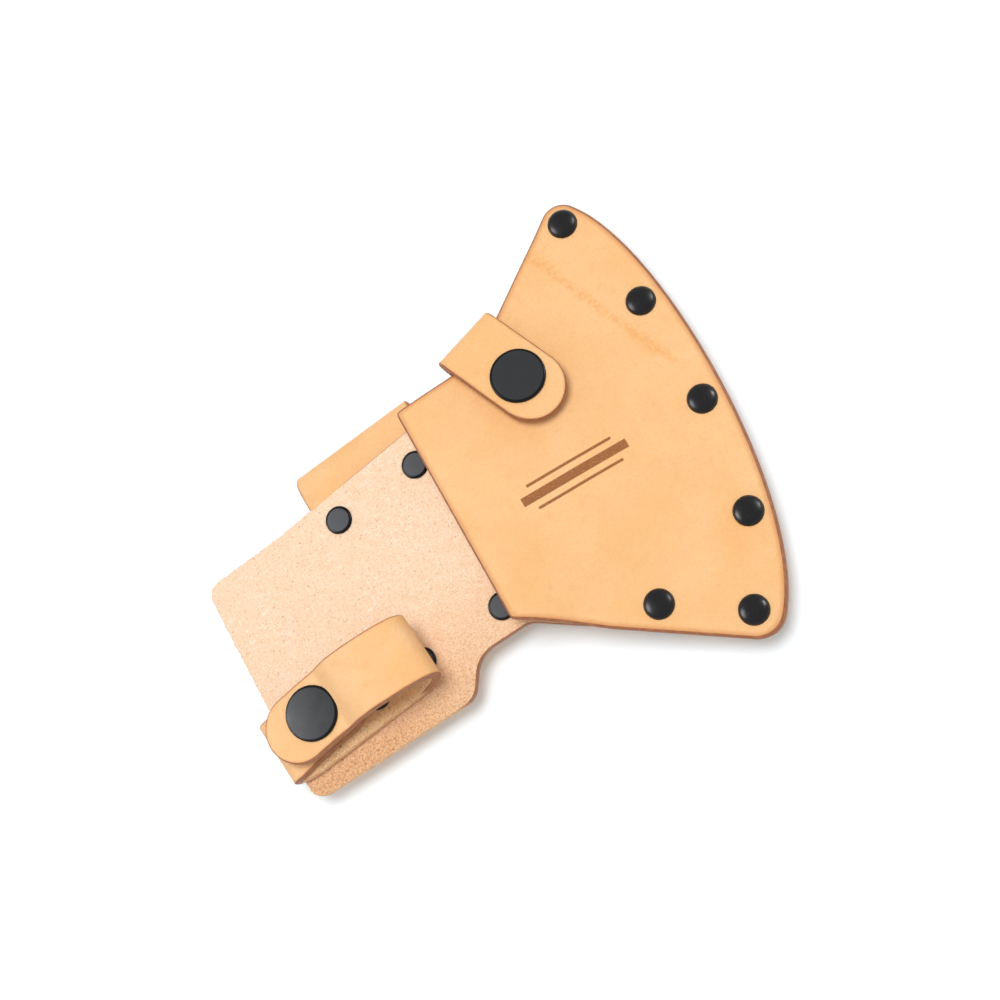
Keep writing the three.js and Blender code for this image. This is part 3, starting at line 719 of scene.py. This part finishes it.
rear_up = -AIR - LEATHER / 2
strap_up = SNAP_GAP + LEATHER / 2
closure_plan = [in_frame(rear_basis, rear_origin, a, u) for a, u in
                [(13, rear_up), (4, rear_up), (-6, rear_up), (-12, rear_up)]
                + arc(-15.2, rear_up + 3, 3, -90, -180, 5)]
closure_plan += [in_frame(snap_basis, snap_origin, a, u, CLOSURE_SKEW) for a, u in
                 arc(-15.8, strap_up - 3, 3, 180, 90, 5)
                 + [(-12, strap_up + 0.1), (-8, strap_up), (0, strap_up), (7, strap_up),
                    (10, strap_up - 0.4), (CLOSURE_TIP, strap_up - 1.1)]]
closure_route = chaikin(closure_plan)
closure = Route(closure_route[:, :3], closure_route[:, 3:])
closure_strap = leather("closure_strap_leather", strap_outline(closure.length, STRAP_WIDTH, True),
                        closure.place, CLOSURE_THICKNESS, (0.8, 1.6), [GRAIN_STRAP, FLESH_STRAP, EDGE],
                        round_over=(0.5, 0.25))
to_row([16.5, 38.8, 14.6])
to_row([16.9, 37.9, 18.3])
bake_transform(closure_strap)
finish(closure_strap, None, ["closure_strap_root", "closure_strap_flap"])

# ---- Handle strap ---------------------------------------------------------------------------
bottom_up = FLAP_HEIGHT + LEATHER + AIR + LEATHER / 2
lower_end_up = bottom_up + LEATHER + 0.6
upper_end_up = lower_end_up + LEATHER + SNAP_GAP
left_radius = (lower_end_up - bottom_up) / 2
# Each point is x, y, z and the strap's small turn in plan, in degrees.
handle_plan = [(-55.8, -24.6, lower_end_up + 2.4, 8), (-58.6, -25.0, lower_end_up + 1.2, 8),
               (-61, -25.3, lower_end_up + 0.3, 8), (-63.5, -25.6, lower_end_up, 8),
               (-70, -26.5, lower_end_up, 8), (-78, -27.7, lower_end_up, 7)]
handle_plan += [(x, -29, z, 6) for x, z in arc(-83.3, bottom_up + left_radius, left_radius, 90, 270, 8)]
handle_plan += [(-80, -29.6, bottom_up, 5), (-70, -28.8, bottom_up, 5), (-60, -27.9, bottom_up, 5),
                (-47.5, -26.9, bottom_up, 5), (-43.8, -26.7, bottom_up + 0.9, 5),
                (-40.5, -26.6, bottom_up + 3, 5), (-38, -26.5, 17.65, 5), (-36.4, -26.5, 19.5, 5),
                (-35.5, -26.5, 21.3, 5), (-35.3, -26.5, 23, 5), (-35.8, -26.5, 24.8, 5),
                (-37.2, -26.5, 26.2, 5), (-39.6, -26.5, 27.1, 5), (-43, -26.4, 27.4, 6), (-47, -26.3, 27.1, 6),
                (-51.5, -26.1, 26.4, 7), (-55, -26, 25.5, 7), (-58, -25.9, 24.4, 8), (-60.4, -25.9, 23, 8),
                (-62.3, -26, upper_end_up + 0.3, 8), (-65, -26.2, upper_end_up, 8),
                (-70, -26.9, upper_end_up, 8), (HANDLE_TIP_X, -29.2, upper_end_up, 9)]
handle_route = chaikin([(x, y, z, math.sin(math.radians(turn)), -math.cos(math.radians(turn)), 0)
                        for x, y, z, turn in handle_plan])
handle = Route(handle_route[:, :3], handle_route[:, 3:])


def handle_burnish(points):
    """The lower layer's edge on one side is nearly raw; the rest is burnished."""
    u, v = points[:, 0], points[:, 1]
    x = np.interp(u, handle.at, handle.centre[:, 0])
    z = np.interp(u, handle.at, handle.centre[:, 2])
    lower = np.clip((15.6 - z) / 2, 0, 1) * np.clip((x + 84) / 2, 0, 1)
    return 1 - 0.9 * lower * (v > 0)


handle_strap = leather("handle_strap_leather", strap_outline(handle.length, STRAP_WIDTH, True), handle.place,
                       LEATHER, (0.6, 1.6), [GRAIN_STRAP, FLESH_STRAP, EDGE], handle_burnish)
# The strap is cut on its lowest layer: the first part stays with the sheath, the rest is split off as its own
# piece.
off_cut = np.abs(handle.centre[:, 0] - HANDLE_CUT_X) + 10 * np.abs(handle.centre[:, 2] - bottom_up)
cut_at = float(handle.at[np.argmin(off_cut)])
handle_upper = split_off(handle_strap, "handle_strap_upper", lambda flat: flat[0] < cut_at)
to_row([-38, HANDLE_Y, 15.0])
to_row([-38, HANDLE_Y, 19.8])
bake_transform(handle_upper)
finish(handle_strap, "sheath", ["handle_strap_base"])
finish(handle_upper, None, ["handle_strap_flap"])


# ---- Rivets ---------------------------------------------------------------------------------
def dome(radius, height, lip=0.35):
    """A rivet cap from its seat to its crown: turned-under lip, rounded shoulder, low dome."""
    shoulder = [(radius - 0.12 + 0.12 * math.cos(a), lip - 0.1 + 0.1 * math.sin(a))
                for a in (-1.2, -0.4, 0.4, 1.2)]
    crown = [(radius * 0.97 * math.cos(a), lip + (height - lip) * math.sin(a))
             for a in np.linspace(0.12, 1.5708, 14)]
    crown[-1] = (0, height)
    return [(radius - 0.45, 0.02)] + shoulder + crown


def flat_dome(radius, height):
    """A flatter cap: narrow rolled rim round an almost level face."""
    return [(radius - 0.4, 0.02), (radius - 0.05, 0.12), (radius, 0.4), (radius - 0.08, height - 0.36),
            (radius - 0.3, height - 0.16), (radius - 0.5, height - 0.1), (radius - 0.75, height - 0.08),
            (radius * 0.45, height - 0.02), (0, height)]


DOMED_CAP, FLAT_CAP = dome(4.1, 1.9), flat_dome(3.9, 0.9)
LIT_FLAT_FACE = (RIVET_LIT_FACE_METAL, 3.16)


def rivet(prefix, place, stack, domed=False):
    """A head above the stack of layers and a tail with a flat cap below it, each with a part of the shaft."""
    def shaft(length):
        return [(0, -length), (1.5, -length), (1.5, 0.02)]

    # A flat cap is near-black on its rim and lighter grey on its face: painted shade and a painted reflection on
    # one metal.
    cap, metal, face = (DOMED_CAP, RIVET_METAL, None) if domed else (FLAT_CAP, SHADED_RIM_METAL, LIT_FLAT_FACE)
    turned(f"{prefix}_head", shaft(stack * 0.45) + cap, place, metal, "sheath", [f"{prefix}_cap"], face=face)
    basis, origin = place
    under = basis @ np.diag([1, -1, -1]), origin - basis[:, 2] * stack
    turned(f"{prefix}_tail", shaft(stack * 0.5) + FLAT_CAP, under, SHADED_RIM_METAL, "sheath", [f"{prefix}_post"],
           face=LIT_FLAT_FACE)


for i, (x, y) in enumerate(BLADE_RIVETS):
    rivet(f"blade_rivet_{i + 1}", surface_frame(x, y, front_top), 2 * PITCH + LEATHER, domed=True)

for i, (sx, sy) in enumerate([(-1, 1), (1, 1), (1, -1), (-1, -1)]):
    spot = on_belt(sx * BELT_HALF_X, sy * BELT_HALF_Y, FLAP_HEIGHT + LEATHER)
    rivet(f"belt_rivet_{i + 1}", upright(*spot), LEATHER + AIR + BELT_THICKNESS)

for i, distance in enumerate(CLOSURE_RIVETS_AT):
    place = surface_frame(*along_closure(distance), back_top, CLOSURE_HEADING)
    rivet(f"closure_rivet_{i + 1}", place, PITCH + LEATHER)

rivet("handle_rivet", upright(*HANDLE_RIVET, FLAP_HEIGHT + PITCH + LEATHER), PITCH + LEATHER)


# ---- Snaps ----------------------------------------------------------------------------------
def snap(prefix, basis, origin, flap_body, flange):
    """Button and socket on the strap's flap, stud and flanged post on the leather under it."""
    def lifted(height):
        return basis, origin + basis[:, 2] * height

    cap = [(0, -LEATHER - 0.4), (1.3, -LEATHER - 0.4), (1.3, 0.05), (7.1, 0.05)]
    cap += [(7.15 + 0.35 * math.cos(a), 0.4 + 0.35 * math.sin(a)) for a in np.linspace(-1.5, 0, 5)]
    cap += [(6.95 + 0.55 * math.cos(a), 0.5 + 0.45 * math.sin(a)) for a in np.linspace(0.15, 1.35, 7)]
    cap += [(r, 1.15 - 0.004 * r * r) for r in (6.8, 6.2, 5.5, 4.2, 2.8, 1.4, 0)]
    # The button's rim is the near-black copy of the metal, painted shade on its steep edge; its crown is a
    # lighter grey copy, a painted reflection.
    turned(f"{prefix}_button", cap, lifted(SNAP_GAP + LEATHER), SHADED_RIM_METAL, flap_body, [f"{prefix}_cap"],
           segments=96, face=(SNAP_LIT_CROWN_METAL, 6.95))
    low = -SNAP_GAP + 1.2
    socket = [(1.5, -0.05), (1.5, -0.6), (3.1, -0.6), (3.1, low + 0.2), (3.3, low), (4.2, low),
              (4.5, low + 0.15), (5.3, low + 0.65), (5.8, low + 0.8), (6, -0.2), (5.8, -0.05), (1.5, -0.05)]
    turned(f"{prefix}_ring", socket, lifted(SNAP_GAP), RIVET_METAL, flap_body, [f"{prefix}_socket"])
    stud = [(1.5, 0.05), (5.8, 0.05), (6, 0.2), (6, 0.6), (5.8, 0.8), (5.2, 0.85), (3.0, 0.85), (2.7, 1.0),
            (2.7, 1.25), (2.8, 1.4), (2.75, 1.65), (2.5, 1.82), (2.1, 1.85), (1.5, 1.85), (1.5, 0.05)]
    turned(f"{prefix}_nipple", stud, lifted(0), RIVET_METAL, "sheath", [f"{prefix}_stud"])
    post = [(0, -flange), (4.7, -flange), (5, -flange + 0.15), (5, -0.1), (4.8, 0), (1.3, 0),
            (1.3, LEATHER + 1.4), (1.1, LEATHER + 1.6), (0, LEATHER + 1.6)]
    turned(f"{prefix}_shank", post, lifted(-LEATHER - 0.05), RIVET_METAL, "sheath", [f"{prefix}_post"])


snap("closure_snap", snap_basis, snap_origin, "closure_flap", 0.7)
handle_basis, handle_origin = upright(HANDLE_SNAP_X, HANDLE_Y + 0.4, lower_end_up + LEATHER / 2)
snap("handle_snap", handle_basis, handle_origin, "handle_flap", 0.4)

# ---- Stage, light and camera ----------------------------------------------------------------
floor_mesh = bpy.data.meshes.new("floor")
floor_mesh.from_pydata([(x, y, 0) for x, y in [(-4, -4), (4, -4), (4, 4), (-4, 4)]], [], [(0, 1, 2, 3)])
floor = bpy.data.objects.new("floor", floor_mesh)
bpy.context.scene.collection.objects.link(floor)
floor_mesh.materials.append(Shader("floor_white", Base_Color=(0.86, 0.92, 0.95, 1), Roughness=0.9,
                                   Emission_Color=(0.97, 0.98, 1, 1), Emission_Strength=0.12).material)

# Camera: tilted off the vertical, towards the blade's lower corner; the plan is turned in the frame.
SENSOR = 36
FOCAL = 1.852 * SENSOR
TILT = math.radians(20.9)
PLAN_TURN = math.radians(31.553)
DISTANCE = 0.5005
image_right = Vector((math.cos(PLAN_TURN), -math.sin(PLAN_TURN), 0))
image_up = Vector((math.sin(PLAN_TURN), math.cos(PLAN_TURN), 0))
lean = (image_right * 0.89 - image_up * 0.45).normalized()
towards = lean * math.sin(TILT) + Vector((0, 0, math.cos(TILT)))
roll = Vector((0, 0, 1)).rotation_difference(towards)
right, up = roll @ image_right, roll @ image_up
camera_data = bpy.data.cameras.new("camera")
camera_data.sensor_width = SENSOR
camera_data.lens = FOCAL
camera_data.clip_start = 0.01
camera = bpy.data.objects.new("camera", camera_data)
bpy.context.scene.collection.objects.link(camera)
aim = Vector(to_row([0, 0, 6]))
spot = aim + towards * DISTANCE
camera.matrix_world = Matrix([[right[k], up[k], towards[k], spot[k]] for k in range(3)] + [[0, 0, 0, 1]])
bpy.context.scene.camera = camera


def area_light(name, rightwards, upwards, height, size, power):
    """A round lamp aimed at the object; its place is given along the image's directions on the floor."""
    position = image_right * rightwards + image_up * upwards + Vector((0, 0, height))
    data = bpy.data.lights.new(name, "AREA")
    data.shape = "DISK"
    data.size = size
    data.energy = power
    lamp = bpy.data.objects.new(name, data)
    lamp.location = position
    lamp.rotation_euler = (-position).to_track_quat("-Z", "Y").to_euler()
    bpy.context.scene.collection.objects.link(lamp)
    return lamp


# Overhead key and a weak side light for the leather; the key leaves no spot on the metal.
key = area_light("key", 0.06, 0.1, 1.05, 0.46, 7.5)
key.visible_glossy = False
area_light("side", -0.8, 0, 0.7, 0.6, 0.25)
# Two soft boxes that only gloss shows.
area_light("gloss_left", -0.8, -0.15, 0.8, 0.6, 6.5).visible_diffuse = False
area_light("gloss_high", 0.7, 0.6, 0.5, 0.3, 3.0).visible_diffuse = False

world = bpy.data.worlds.new("studio")
world.use_nodes = True
background = world.node_tree.nodes["Background"]
background.inputs["Color"].default_value = (1, 1, 1, 1)
background.inputs["Strength"].default_value = 0.48
bpy.context.scene.world = world
bpy.context.scene.view_settings.view_transform = "Standard"
